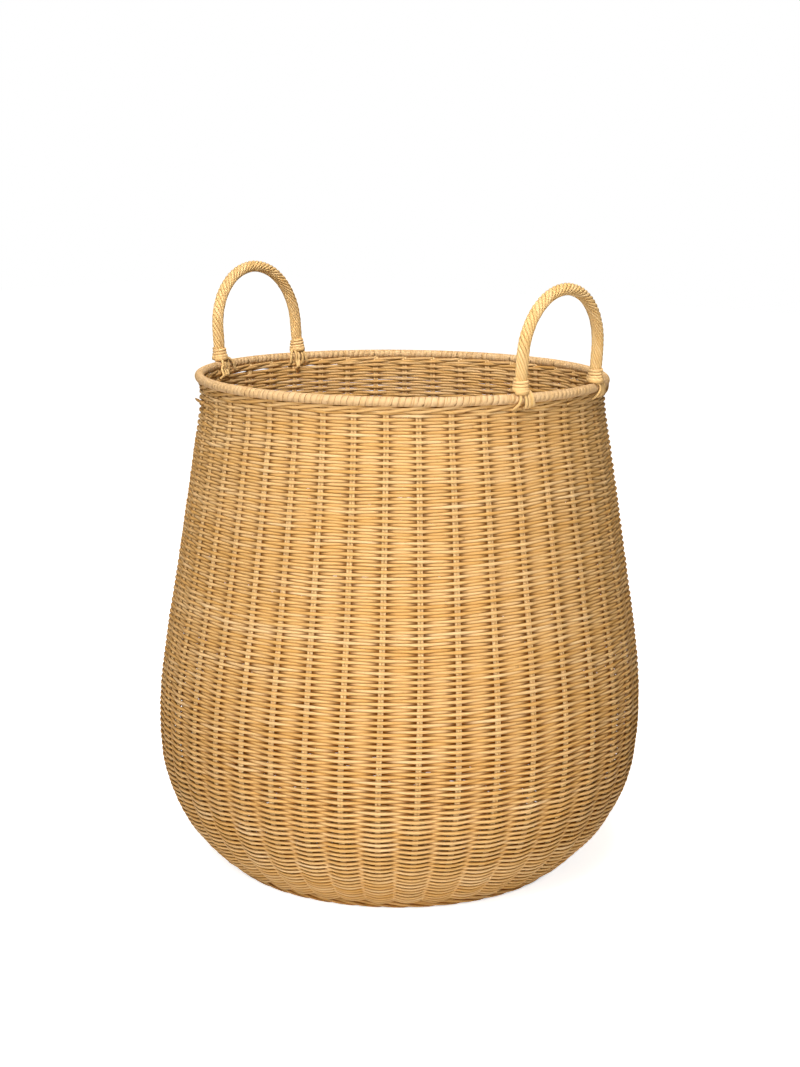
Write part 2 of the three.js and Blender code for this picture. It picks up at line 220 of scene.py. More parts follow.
# %% Angles of the stakes
FRONT_STAKE = -5  # the stake nearest the camera
STAKE_WAVES = [(1, -0.01716, 0.0358), (2, -0.00904, 0.01797)]  # times round, by sine, by cosine
STAKE_SHIFT = 0.0753
to_front = -TURN * FRONT_STAKE / STAKE_COUNT


def stake_angle(place):
    """The angle of stake number `place`; parts of a number lie between two stakes."""
    even = TURN * np.asarray(place, float) / STAKE_COUNT
    t = even + to_front
    wave = 0
    for times, by_sine, by_cosine in STAKE_WAVES:
        wave = wave + by_sine * np.sin(times * t) + by_cosine * (1 - np.cos(times * t))
    return even + wave + STAKE_SHIFT + to_front - CAMERA_SIDE


def from_front(place):
    """How many stakes a place is to the right of the front one, as the camera sees it."""
    half_way = STAKE_COUNT / 2
    return (place - FRONT_STAKE + half_way) % STAKE_COUNT - half_way


print("first stakes at", np.round(np.degrees(stake_angle(np.arange(5))), 2))

# %% [markdown]
# ## Turning a path into a strand
# A strand is a ring of points carried along its path, with one side kept to the wall's
# face, so a flat strand lies flat on the wall. Each point also keeps where along and
# around the strand it is, the strand's tone, and how much painted shade it gets. The
# finish reads these, so the grain follows the cane and no flat picture is needed.

# %% Directions and faces of a tube
def unit(v):
    """The same directions, each with length 1."""
    return v / np.maximum(np.linalg.norm(v, axis=-1, keepdims=True), 1e-9)


def between_ways(first, second, turn):
    """Directions that have turned this far from the first way towards the second."""
    return first * np.cos(turn)[:, None] + second * np.sin(turn)[:, None]


def tube_faces(count, sides, closed=False):
    """Four-sided faces between neighbouring rings, and a cap for each end of an open tube."""
    here = np.arange(count * sides).reshape(count, sides)
    ahead = np.roll(here, -1, 0) if closed else here[1:]
    behind = here if closed else here[:-1]
    quads = np.stack([behind, np.roll(behind, -1, 1), np.roll(ahead, -1, 1), ahead], -1)
    caps = [] if closed else [here[0, ::-1], here[-1]]
    return quads.reshape(-1, 4), caps


print("faces round a tube of 3 rings of 8 points:", len(tube_faces(3, 8)[0]))

# %% What each point of a strand remembers
GRAIN_APART = 50  # the grains of two strands are this far apart, so they never look alike
INNER_SHADE = 0.35  # the back of a strand that stands out gets less painted shade: it faces the open inside


def shade_of_the_weave(turn, wave):
    """Painted shade: 1 for a face that dives behind a stake, 0 for a face that stands out in the light."""
    depth = -np.sin(turn) * wave[:, None]
    back_face = (np.sin(turn) < 0) & (depth > 0)
    return 0.5 + 0.5 * np.where(back_face, INNER_SHADE * depth, depth)


def remembered(points, faces, grain, tone, edge, painted_shade):
    """A strand's arrays, in the form that a piece is joined from."""
    quads, caps = faces
    shape = points.shape[:2]
    return {
        "points": points.reshape(-1, 3),
        "quads": quads,
        "caps": caps,
        "grain": np.stack([np.broadcast_to(part, shape) for part in grain], -1).reshape(-1, 3),
        "tone": np.broadcast_to(tone, shape).reshape(-1),
        "edge": np.broadcast_to(edge, shape).reshape(-1),
        "painted_shade": np.broadcast_to(painted_shade, shape).reshape(-1),
    }


print("grains lie", GRAIN_APART, "apart from strand to strand")


# %% Strands
def strand(
    line, face, half_width, half_height=None, sides=8, closed=False,
    tone=0.5, key=0, edge_shade=1.0, wave=None, shade=1.0,
):
    """A tube along `line` with its flat side to `face`; sizes and tone may change along it.

    `key` sets its grain apart from other strands, and `edge_shade` is how much painted shade darkens
    its two edges, where it touches its neighbours. `wave` is 1 where it stands out of the weave
    and -1 where it dives behind. With no wave it lies free, and otherwise `shade` is how much
    painted shade it gets in the gaps."""
    line = np.asarray(line, float)
    count = len(line)
    if closed:
        tangent = unit(np.roll(line, -1, 0) - np.roll(line, 1, 0))
    else:
        tangent = unit(np.gradient(line, axis=0))
    side = unit(np.cross(tangent, face))
    lift = np.cross(side, tangent)
    half_height = half_width if half_height is None else half_height
    half_width = np.broadcast_to(half_width, count)[:, None]
    half_height = np.broadcast_to(half_height, count)[:, None]
    turn = TURN * (np.arange(sides) + 0.5) / sides
    aside, upward = np.cos(turn) * half_width, np.sin(turn) * half_height
    points = line[:, None] + (side[:, None] * aside[..., None] + lift[:, None] * upward[..., None])
    along = np.concatenate([[0], np.cumsum(np.linalg.norm(np.diff(line, axis=0), axis=1))])
    grain = (along[:, None], aside, upward + GRAIN_APART * key)
    # how much painted shade each point gets in the gaps of the weave
    painted_shade = 0.0
    if wave is not None:
        painted_shade = shade_of_the_weave(turn, wave) * np.broadcast_to(shade, count)[:, None]
    tones = np.broadcast_to(tone, count)[:, None]
    # painted shade darkens the strand's two edges, where it touches its neighbours
    edge = np.abs(np.cos(turn)) * edge_shade
    return remembered(points, tube_faces(count, sides, closed), grain, tones, edge, painted_shade)


trial = strand(np.outer(np.arange(4.0), UP), PICTURE_RIGHT, STRAND_RADIUS)
print("a short strand has", len(trial["points"]), "points")

# %% [markdown]
# ## From strands to pieces
# A piece is many canes that hold one another, such as one handle's roping. Here it is one
# mesh, joined from its strands' arrays, because that is far quicker than many objects.

# %% One mesh from many strands
def joined(parts, what):
    """One of the strands' arrays, put end to end."""
    return np.concatenate([part[what] for part in parts]).astype(np.float32).reshape(-1)


def mesh_of(name, parts):
    """A mesh of all the strands, with what their points remember as its attributes."""
    starts = np.concatenate([[0], np.cumsum([len(part["points"]) for part in parts])])
    quads = np.concatenate([part["quads"] + start for part, start in zip(parts, starts)])
    caps = [cap + start for part, start in zip(parts, starts) for cap in part["caps"]]
    corners = np.concatenate([quads.reshape(-1)] + caps)
    lengths = np.concatenate([np.full(len(quads), 4), [len(cap) for cap in caps]]).astype(int)
    first_corners = np.concatenate([[0], np.cumsum(lengths)[:-1]])
    mesh = bpy.data.meshes.new(name)
    mesh.vertices.add(int(starts[-1]))
    mesh.vertices.foreach_set("co", joined(parts, "points") * MM)
    mesh.loops.add(len(corners))
    mesh.loops.foreach_set("vertex_index", corners.astype(np.int32))
    mesh.polygons.add(len(lengths))
    mesh.polygons.foreach_set("loop_start", first_corners.astype(np.int32))
    mesh.polygons.foreach_set("use_smooth", lengths == 4)  # the caps stay flat
    mesh.attributes.new("grain", "FLOAT_VECTOR", "POINT").data.foreach_set("vector", joined(parts, "grain"))
    for kept in ("tone", "edge", "painted_shade"):
        mesh.attributes.new(kept, "FLOAT", "POINT").data.foreach_set("value", joined(parts, kept))
    mesh.update(calc_edges=True)
    mesh.validate()
    return mesh


print("numbers for two short strands:", len(joined([trial, trial], "points")))

# %% A piece that rides with the basket
waiting = []  # each piece and its slot, until the finishes are made


def in_scene(name, data):
    """A new object of this mesh, lamp or camera, linked to the scene."""
    made = bpy.data.objects.new(name, data)
    bpy.context.scene.collection.objects.link(made)
    return made


def piece(name, parts, slot, *stands_for):
    """Joins strands in one object that rides with the basket, in place of its CAD parts."""
    made = in_scene(name, mesh_of(name, parts))
    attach(made, "root")
    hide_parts(*stands_for)
    waiting.append((made, slot))
    print(name, len(made.data.polygons), "faces")


print("pieces waiting for a finish:", len(waiting))

# %% [markdown]
# ## The camera
# The photograph was taken from a little above the rim, about two metres away. The camera
# has the same place and lens, so that the render and the photograph can be laid side by side.

# %% Camera
CAMERA_DISTANCE, CAMERA_HEIGHT = 2050.0, 739.1
PITCH, YAW, ROLL = 0.19462, -0.00029, 0.01025  # radians: down, to the right, and the frame's tilt
FOCAL_PIXELS, LONG_SIDE_PIXELS = 2058.75, 1067
level_look = AWAY * math.cos(YAW) + PICTURE_RIGHT * math.sin(YAW)
look = level_look * math.cos(PITCH) - UP * math.sin(PITCH)
right = PICTURE_RIGHT * math.cos(YAW) - AWAY * math.sin(YAW)
above = np.cross(right, look)
tilted_right = math.cos(ROLL) * right + math.sin(ROLL) * above
tilted_up = -math.sin(ROLL) * right + math.cos(ROLL) * above
camera = in_scene("camera", bpy.data.cameras.new("camera"))
camera_place = UP * CAMERA_HEIGHT - AWAY * CAMERA_DISTANCE
turned = Matrix([tilted_right, tilted_up, -look]).transposed().to_4x4()
camera.matrix_world = Matrix.Translation(Vector(camera_place * MM)) @ turned
camera.data.sensor_width = 36
camera.data.lens = FOCAL_PIXELS * camera.data.sensor_width / LONG_SIDE_PIXELS
camera.data.clip_start, camera.data.clip_end = 0.1, 50
bpy.context.scene.camera = camera
print("lens", round(camera.data.lens, 2), "mm")

# %% [markdown]
# ## The plain weave
# Two strands chase each other round the basket. Each goes outside one pair of stakes and
# inside the next, and the second does the reverse of the first, so the wall closes up.
# Both climb by two strand thicknesses in a turn, because the other lies between. A strand
# runs nearly straight from stake to stake, and bends only where it rests on one.

# %% How the rows climb
WEAVE_START, WEAVE_END = 8.5, float(up_at(486.4))  # along the wall
ROW_TILT = 2.5  # mm up on one side of the basket, and down on the other
HUMP_STAKE, HUMP_WIDTH, HUMP_HEIGHT = 4.5, 2.0, 3.2  # stakes right of the front, stakes, mm
LEVELLED = 60  # over this much of the wall the rows settle, at the foot and at the rim


def row_drift(place, up):
    """Rows climb a little to one side and over a hump, and are level at the foot and the rim."""
    t = TURN * (place % STAKE_COUNT) / STAKE_COUNT + to_front
    hump = HUMP_HEIGHT * near(from_front(place), HUMP_STAKE, HUMP_WIDTH)
    held = eased((up - WEAVE_START) / LEVELLED) * eased((WEAVE_END - up) / LEVELLED)
    return (ROW_TILT * np.sin(t) + hump) * held


print("the weave runs from", WEAVE_START, "to", round(WEAVE_END, 1), "mm along the wall")

# %% How a strand swings
BEND = 0.96  # 1 would bend the strand sharply at a stake
SPRING_HEIGHTS, SPRINGS = [60, 150, 260, 380], [1.0, 1.3, 1.9, 2.3]
ARCHES_UP_TO, ARCHES_FADE = 50, 120


def swing(place, level):
    """How far out a strand is between 1, outside a stake, and -1, inside the next.

    Near the foot it bows in round arches; higher up it springs back to the middle at once."""
    arches = np.cos(np.pi * place)
    zigzag = np.arcsin(BEND * arches) / math.asin(BEND)
    height = height_at(level)
    sprung = np.sign(zigzag) * np.abs(zigzag) ** np.interp(height, SPRING_HEIGHTS, SPRINGS)
    upward = eased((height - ARCHES_UP_TO) / ARCHES_FADE)
    return arches * (1 - upward) + sprung * upward


print("swing a quarter of the way to the next stake:", np.round(swing(0.25, 260.0), 2))

# %% The two weavers
STEPS = 8  # points of a strand between two stakes
SHORTEST_CANE, LONGEST_CANE = 2000, 4500  # a weaver is joined from canes of such lengths
STAKES_APART = 34  # mm, on average


def weaver(first_up, out_first, seed):
    """One long strand, as arrays along it: place, level, swing, half thickness and tone."""
    turns = (WEAVE_END - first_up) / ROW_RISE
    count = int(turns * STAKE_COUNT * STEPS)
    place = np.arange(count) / STEPS
    level = first_up + ROW_RISE * place / STAKE_COUNT
    level = level + row_drift(place, level) + drift_field(21, place, level, 1.2)
    level = level + drift_field(22, place, level, 0.5, 1.0, 30.0) + wander(seed, count, STEPS, 0.08)
    wave = out_first * swing(place, level)
    out = wave * (reach_at(level) + wander(seed + 2, count, STEPS, 0.22))
    half = STRAND_RADIUS * (1 + wander(seed + 3, count, STEPS * 5, 0.05))
    random = dice(seed + 4)
    tone = np.zeros(count)
    at = 0
    while at < count:
        length = int(random.uniform(SHORTEST_CANE, LONGEST_CANE) / STAKES_APART * STEPS)
        tone[at : at + length] = random.uniform(0, 1)
        half[at : at + length] *= random.uniform(0.97, 1.03)
        at += length
    return place, level, out, half, tone, wave


print("turns of each weaver:", round((WEAVE_END - WEAVE_START) / ROW_RISE, 1))

# %% [markdown]
# ## Packing the rows
# Damp strands are beaten down until they touch, and flatten where they lie on a stake. So
# a strand is taller near the foot and at each stake than in between. The wall is made in
# bands, one piece each, which keeps every mesh at a handy size.

# %% Bands of weave
BAND_HEIGHTS = [5, 62, 125, 190, 252, 312, 372, 430, 472, 500]
PACKED_HEIGHTS, PACKED = [0, 60, 130, 200], [1.3, 1.24, 1.12, 1.08]
FLATTER_OUTSIDE, FLATTER_INSIDE = 0.24, 0.2
# how strong the painted shade in the gaps of the weave is at each height
SHADE_HEIGHTS, SHADES = [15, 80, 140, 260, 480], [0.8, 1.05, 1.0, 0.88, 0.8]


def woven_part(line, face, level, half, tone, wave, key):
    """A stretch of a weaver as a strand, flattened where it passes a stake."""
    height = height_at(level)
    outer, inner = np.clip(wave, 0, 1), np.clip(-wave, 0, 1)
    flattened = np.interp(height, PACKED_HEIGHTS, PACKED)
    flattened = flattened + FLATTER_OUTSIDE * outer**2 + FLATTER_INSIDE * inner
    deep_in = half * STRAND_DEPTH / STRAND_RADIUS
    shade = np.interp(height, SHADE_HEIGHTS, SHADES)
    return strand(line, face, half * flattened, deep_in, tone=tone, key=key, wave=wave, shade=shade)


weave_parts = [[] for _ in BAND_HEIGHTS[:-1]]
for first_up, out_first, seed in ((WEAVE_START, 1, 11), (WEAVE_START + ROW_RISE / 2, -1, 31)):
    place, level, out, half, tone, wave = weaver(first_up, out_first, seed)
    angle = stake_angle(place)
    line, face = wall_point(level, angle, out), wall_face(level, angle)
    edges = np.searchsorted(level, up_at(np.array(BAND_HEIGHTS)))
    for band, (start, end) in enumerate(zip(edges[:-1], edges[1:])):
        if min(end + 1, len(line)) - start > 2:
            stretch = slice(start, end + 1)
            along_it = [values[stretch] for values in (line, face, level, half, tone, wave)]
            weave_parts[band].append(woven_part(*along_it, key=seed))
for band, parts in enumerate(weave_parts[:-1]):
    piece(f"weave_band_{band + 1}", parts, "weaving_cane", "wall_weave")

# %% [markdown]
# ## The stakes
# Each stake is a pair of round canes that stand side by side between the strands, from
# inside the foot's roll up into the rim. They show as short dots between the rows, in
# columns, and as the ridges that the strands swing over. They are real canes here too,
# because from the side they show through the gaps.

# %% Stake pairs
STAKE_FOOT, STAKE_TOP = 4.5, 493.0
STAKE_RADIUS = 1.38
STAKE_GAP = 2.74  # between the middles of the two canes of a pair
stake_heights = np.linspace(STAKE_FOOT, STAKE_TOP, 90)
above_wall = np.maximum(stake_heights - OUTLINE_HEIGHTS[-1], 0)
ups = up_at(np.minimum(stake_heights, OUTLINE_HEIGHTS[-1])) + above_wall
for number in range(STAKE_COUNT):
    angle = np.full(len(ups), stake_angle(number))
    middle = wall_point(ups, angle, wander(200 + number, len(ups), 9, 0.15))
    across = outward(angle + TURN / 4)
    shift = wander(300 + number, len(ups), 12, 0.4)
    canes = []
    for side in (-1, 1):
        line = middle + across * (shift + side * STAKE_GAP / 2)[:, None]
        tone = dice(400 + 2 * number + side).uniform(0, 1)
        canes.append(strand(line, wall_face(ups, angle), STAKE_RADIUS, tone=tone, key=number + side, edge_shade=0.3))
    piece(f"stakes_{number + 1:02d}", canes, "stake_cane", f"stake_pair_{number + 1:02d}")
print("stakes from", STAKE_FOOT, "to", STAKE_TOP, "mm")

# %% [markdown]
# ## The wale
# Above the plain weave the maker works three strands together: each passes outside two
# pairs of stakes and inside one, and the next strand starts one stake further on. Two such
# rows, with the last plain rows below them, make the rope-like band under the rim.

# %% Wale strands
WALE_STEPS = 10  # points of a strand between two stakes
WALE_THIRDS = [0, 1 / 6, 1 / 3, 2 / 3, 5 / 6, 1]
WALE_SWING = [-1, 0, 1, 1, 0, -1]  # inside one stake, then outside two
WALE_CLIMB, WALE_SLACK = 2.4, 0.15
BULGE_STAKE, BULGE_WIDTH, BULGE_OUT = 9.3, 1.3, 3.2  # where the wale stands off the wall


def wale_strand(first, middle_height, seed, tone):
    """A strand that goes outside two stakes and inside the third, climbing as it goes."""
    place = np.arange(STAKE_COUNT * WALE_STEPS + 1) / WALE_STEPS
    t = ((place - first) / 3) % 1.0
    corners = np.interp(t, WALE_THIRDS, WALE_SWING)
    smooth = np.convolve(np.pad(corners, 3, mode="edge"), np.ones(7) / 7, mode="valid")
    climb = WALE_CLIMB * np.sin(TURN * (t - 0.5)) * np.interp(smooth, [-1, 0, 1], [0.1, 0.5, 1.0])
    level = up_at(middle_height) + climb + wander(seed, len(place), WALE_STEPS * 2, 0.25)
    angle = stake_angle(place)
    bulge = BULGE_OUT * near(from_front(place), BULGE_STAKE, BULGE_WIDTH)
    line = wall_point(level, angle, smooth * (reach_at(level) + WALE_SLACK) + bulge)
    thick = STRAND_RADIUS * 1.15
    return strand(line, wall_face(level, angle), thick, STRAND_DEPTH, tone=tone, key=seed, wave=smooth)


wale_parts = list(weave_parts[-1])
random = dice(7)
for first in range(3):
    wale_parts.append(wale_strand(first, 488.2, 50 + first, random.uniform(0.2, 0.9)))
    wale_parts.append(wale_strand(first + 1.5, 491.4, 60 + first, random.uniform(0.2, 0.9)))
print("strands of the wale:", len(wale_parts) - len(weave_parts[-1]))

# %% A loose end at the left
t = np.linspace(0, 1, 12)
loose_angle = math.radians(-74) - CAMERA_SIDE - math.radians(16) * t
loose_line = point_at(loose_angle, RIM_RADIUS + 5.2 * t * t, 473.8 - 2.6 * t)
loose_half = np.interp(t, [0, 0.6, 1], [1.6, 1.5, 0.4])
wale_parts.append(strand(loose_line, outward(loose_angle), loose_half, tone=0.9))
piece("wale", wale_parts, "weaving_cane", "top_wale")

# %% [markdown]
# ## The rim
# The rim is a hoop wrapped in flat peel, the outer skin of the cane. The peel is one long
# strip wound round and round, each turn close beside the last, so every turn is a slightly
# crowned band with a seam at each edge. Beside a stake the strip has to pass through the
# wale, and is pulled aside. The strip's two ends meet under the roll, where they don't show.

# %% Path of the peel
BINDING_TURNS = 219
ROLL_RADIUS = 4.55
PEEL_THICKNESS = 0.6
PEEL_STEPS = 22  # points of the strip in one turn
PEEL_ACROSS = np.array([-0.5, -0.44, 0.0, 0.44, 0.5])  # parts of its width
PEEL_CROWN = np.array([-0.38, -0.04, 0.08, -0.04, -0.26])  # its edges sink beside its middle
PULLED_OUTSIDE, PULLED_INSIDE = 1.6, 2.3  # mm aside, beside a stake
stake_places = stake_angle(np.arange(-STAKE_COUNT - 14, 14))


def peel_turns():
    """The strip as bands across the roll: each band has five points across its width."""
    turn = np.arange(BINDING_TURNS * PEEL_STEPS) / PEEL_STEPS
    width = TURN / BINDING_TURNS
    pull = 0.98 + wander(6, len(turn), PEEL_STEPS, 0.04)
    lift = wander(8, len(turn), PEEL_STEPS * 3, 0.08)
    theta = turn * TURN + np.pi / 2  # starts under the roll
    around = -turn * width
    place = around[:, None] + PEEL_ACROSS * width * pull[:, None]
    nearest = stake_places[np.abs(stake_places - around[:, None]).argmin(-1)]
    beside = near((around - nearest) * RIM_RADIUS, 1.0, 2.6)
    low_outside = near(theta % TURN, math.radians(70), 0.7)
    low_inside = near(theta % TURN, math.radians(150), 0.7)
    aside = beside * (PULLED_OUTSIDE * low_outside + PULLED_INSIDE * low_inside)
    return turn, theta, place - (aside / RIM_RADIUS)[:, None], ROLL_RADIUS + PEEL_CROWN + lift[:, None]


turn, theta, place, radius = peel_turns()
print("the peel is", round(turn[-1] * TURN * ROLL_RADIUS / 1000, 1), "m long")

# %% Rim binding
SEAM_EDGES = [1.0, 0.3, 0.0, 0.3, 1.0] * 2  # painted shade at the strip's edges, outside and inside
GRAIN_ACROSS, GRAIN_OF_NEXT = 3.0, 7.0  # half the strip's width, and how far on the next turn's is
direction = outward(place) * np.cos(theta)[:, None, None]
direction[..., 2] -= np.sin(theta)[:, None]
rim_middle = point_at(place, RIM_RADIUS, RIM_HEIGHT)
outer = rim_middle + direction * radius[..., None]
inner = rim_middle + direction * (radius - PEEL_THICKNESS)[..., None]
rows = np.concatenate([outer, inner[:, ::-1]], 1)
count, ring = rows.shape[:2]
across = np.linspace(-GRAIN_ACROSS, GRAIN_ACROSS, 5)
across = np.concatenate([across, across[::-1]])
grain = (turn[:, None] * TURN * ROLL_RADIUS, across, (turn // 1)[:, None] * GRAIN_OF_NEXT)
tones = np.repeat(dice(9).uniform(0, 1, BINDING_TURNS), PEEL_STEPS)
# how much painted shade the seams of each turn get
seam_shade_of_turn = 0.8 + 0.2 * dice(12).uniform(0, 1, BINDING_TURNS) ** 1.5
painted_seam_shade = np.repeat(seam_shade_of_turn, PEEL_STEPS)[:, None] * SEAM_EDGES
strip = remembered(rows, tube_faces(count, ring), grain, tones[:, None], painted_seam_shade, 0.0)
piece("rim_peel_binding", [strip], "rim_peel", "rim_binding")

# %% Hoop inside the binding
HOOP_RADIUS = 2.9
hoop_line = point_at(ALL_ROUND, RIM_RADIUS, RIM_HEIGHT)
hoop = strand(hoop_line, outward(ALL_ROUND), HOOP_RADIUS, closed=True, tone=0.4)
piece("hoop", [hoop], "stake_cane", "rim_hoop")

# %% [markdown]
# ## The handles
# A handle is a thick cane bent to an arch, with its feet at the rim, and roped: a bundle
# of strands is wound round it in a long spiral, side by side. On the bend the strands
# slide towards the inside of the arch and cross its outside more steeply. That is worked
# out point by point, because a plain spiral would look machine made.

# %% Path of an arch
HANDLES = {  # degrees round from the camera's side, mm, mm, mm, degrees outwards
    "right": {"middle": 49.2, "half": 58.4, "leg": 39.2, "rise": 97.6, "lean": 3.5},
    "left": {"middle": -128.7, "half": 60.0, "leg": 36.9, "rise": 98.8, "lean": 5.3},
}
FOOT_HEIGHT = 499.0
ARCH_STEPS = 700
BEND_FADE = 12  # the strands start to slide this far from where the bend starts


def arch(size):
    """The arch's middle line, the way out of its bend, the way aside, how far along, how bent."""
    middle = math.radians(size["middle"]) - CAMERA_SIDE
    half, leg_top = size["half"], size["leg"]
    foot_out = math.sqrt(RIM_RADIUS**2 - half**2)
    leg = leg_top + RIM_HEIGHT - FOOT_HEIGHT
    total = 2 * leg + math.pi * half
    along = np.linspace(0, total, ARCH_STEPS)
    bend = np.clip((along - leg) / half, 0, math.pi)
    below_bend = np.minimum(np.minimum(along - leg, total - leg - along), 0)
    rise = below_bend + (size["rise"] - leg_top) * np.sin(bend) + leg_top
    radial, across = outward(middle), outward(middle + TURN / 4)
    tipped = UP + radial * math.tan(math.radians(size["lean"]))
    base = radial * foot_out + UP * RIM_HEIGHT
    line = base + across * (half * np.cos(bend))[:, None] + tipped * rise[:, None]
    face = between_ways(across, unit(tipped), bend)
    other = np.cross(unit(np.gradient(line, axis=0)), face)
    bent = eased((along - leg + BEND_FADE) / (2 * BEND_FADE))
    bent = bent * eased((total - leg + BEND_FADE - along) / (2 * BEND_FADE))
    return line, face, other, along, bent


print("length of a handle from foot to foot:", round(arch(HANDLES["right"])[3][-1], 1), "mm")

# %% Roping
ROPE_STRANDS = 11
ROPE_LAY = 59.0  # a strand goes once round the rod in this length
ROPE_RADIUS = 4.5
ROPE_HALF_HEIGHT = 1.4
ROPE_PULL = 0.32  # how far the strands slide to the inside of the bend
ROPE_OVERLAP = 1.08
SQUEEZED_END, SQUEEZED_FADE = 11, 8  # the roping is narrower by 1 mm under the collars
ROD_RADIUS = 3.3


def rope_strand(line, face, other, along, bent, number, tone):
    """One strand of the roping, wider where it crosses the outside of the bend."""
    turn = -TURN * (along / ROPE_LAY + number / ROPE_STRANDS)
    pulled = ROPE_PULL * bent
    spread = (1 - pulled**2) / (1 + pulled**2 - 2 * pulled * np.cos(turn))
    turn = turn + 2 * np.arctan2(pulled * np.sin(turn), 1 - pulled * np.cos(turn))
    spoke = between_ways(face, other, turn)
    free_of_first = eased((along - SQUEEZED_END) / SQUEEZED_FADE)
    free_of_second = eased((along[-1] - SQUEEZED_END - along) / SQUEEZED_FADE)
    wobble = wander(1000 + number, len(along), 58, 0.12)
    radius = ROPE_RADIUS + wobble - (1 - free_of_first * free_of_second)
    slope = np.arctan(TURN * ROPE_RADIUS / ROPE_LAY * spread)
    wide = ROPE_OVERLAP * np.pi * ROPE_RADIUS / ROPE_STRANDS * spread * np.cos(slope)
    path = line + spoke * radius[:, None]
    return strand(path, spoke, wide, ROPE_HALF_HEIGHT, sides=10, tone=tone, key=number, edge_shade=0.72)


for side, size in HANDLES.items():
    random = dice(70 if side == "right" else 90)
    tones = [random.uniform(0, 1) for _ in range(ROPE_STRANDS)]
    ropes = [rope_strand(*arch(size), number, tone) for number, tone in enumerate(tones)]
    piece(f"handle_{side}_rope", ropes, "handle_cane", f"handle_{side}_roping")
    line, face = arch(size)[:2]
    rod = strand(line, face, ROD_RADIUS, sides=10, tone=0.5)
    piece(f"handle_{side}_rod", [rod], "stake_cane", f"handle_{side}_core")

# %% [markdown]
# ## Collars
# Where a handle meets the rim, a thin cane is wound four times round the leg to grip the
# roping. The turns are uneven, and the lowest is the widest, so a plain spiral won't do:
# the cane's path is given its heights, radii and widths one by one.

# %% Collars
COLLAR_TURNS, COLLAR_STEPS = 4, 28
COLLAR_HEIGHTS = [3.8, 4.8, 7.9, 10.4, 12.9, 15.2]  # evenly spaced along the four turns
COLLAR_RADII = [7.5, 7.3, 6.5, 6.3, 5.9]  # at the start of each turn, and at the end
COLLAR_THICK = 1.15


def picked(values, along, where):
    """The points or directions of a path at these distances along it."""
    return np.stack([np.interp(where, along, values[:, i]) for i in range(3)], -1)


def collar(size, foot_first):
    """The cane round one leg of a handle, wound upwards from the leg's foot."""
    line, face, other, along, bent = arch(size)
    foot, direction = (0, 1) if foot_first else (along[-1], -1)
    t = np.linspace(0, COLLAR_TURNS, COLLAR_TURNS * COLLAR_STEPS + 1)
    up_leg = np.interp(t, np.linspace(0, COLLAR_TURNS, len(COLLAR_HEIGHTS)), COLLAR_HEIGHTS)
    where = foot + direction * up_leg
    turn = TURN * t * direction
    spoke = between_ways(picked(face, along, where), picked(other, along, where), turn)
    uneven = wander(1200 + len(waiting), len(t), 14, 0.22)
    radius = np.interp(t, range(COLLAR_TURNS + 1), COLLAR_RADII) + uneven
    width = np.interp(t, [0, 0.9, 1.5, COLLAR_TURNS], [2.6, 2.6, 1.65, 1.45])
    path = picked(line, along, where) + spoke * radius[:, None]
    return strand(path, spoke, width, COLLAR_THICK, tone=0.6, edge_shade=0.55)


for side, size in HANDLES.items():
    for end in ("first", "second"):
        name = f"handle_{side}_{end}_collar"
        piece(f"{name}_cane", [collar(size, end == "second")], "collar_cane", name)

# %% [markdown]
# ## Lashings
# Below each collar the roping strands part, fan out over the rim and go down into the
# weave, which ties the handle to the basket. Each is laid by hand, so each has its own
# numbers here.

# %% How the lashings fan out
# Each strand: how far aside of the leg it starts, is half way and ends, and how far down it goes.
LASHINGS = {
    "right_second": [
        (-4, -3, -7.5, 10.2), (-0.3, 2.8, 3.8, 9), (2.8, 6.2, 7.6, 9), (5.4, 8.8, 9.8, 8), (7.2, 10, 13, 7)
    ],
    "right_first": [(-6, 0, -5, 11), (-1.5, 3, 5, 9.5), (2, 6.5, 9, 9), (5, 9.5, 12, 8), (7, 12, 16, 7.5)],
    "left_second": [
        (-9, -12.4, -12.6, 8), (-5.6, -5.6, -5.6, 12.5), (-3.4, -2.2, -4.6, 11.5), (-0.4, 2.6, 2, 9),
        (3, 6.5, 10.5, 8),
    ],
    "left_first": [(-4, -8, -14, 12), (-1, -2.5, -6, 11), (2, 2, 0, 11), (4.5, 6, 6, 9), (8, 17, 21, 8)],
}
LASHING_HALF = 1.55
LASHING_LONG = 10  # a tie that goes further down than this lies on the wall
LASHING_STOPS = [0, 0.25, 0.45, 0.6, 0.85, 1]  # from the collar over the roll to the weave
print("strands that tie the handles:", sum(len(ties) for ties in LASHINGS.values()))


# %% Lashings
def lashing(tie, angle, facing, wall_side, half, tone, key):
    """One tie from the collar over the rim roll and down: outwards if facing is 1, or inwards."""
    start, half_way, finish_at, down = tie
    t = np.linspace(0, 1, 48)
    aside = smooth_through([0, 0.45, 1], [start, half_way, finish_at], t)
    outs = [1.5, 4.9, 6.3, 6.2, 4.8, 1.6]
    if down > LASHING_LONG:
        outs = [1.5, 4.9, 6.3, 6.0, wall_side, wall_side - 3.0]
    downs = [8.5, 4.9, 0.4, -3.0, -0.8 * down, -down]
    out = smooth_through(LASHING_STOPS, outs, t) * facing
    rise = smooth_through(LASHING_STOPS, downs, t)
    around = angle + facing * aside / RIM_RADIUS
    line = point_at(around, RIM_RADIUS + out, RIM_HEIGHT + rise)
    face = outward(around) * out[:, None] + UP * (rise + 2)[:, None]
    return strand(line, unit(face), half, half * 0.85, tone=tone, key=key, edge_shade=0.6)


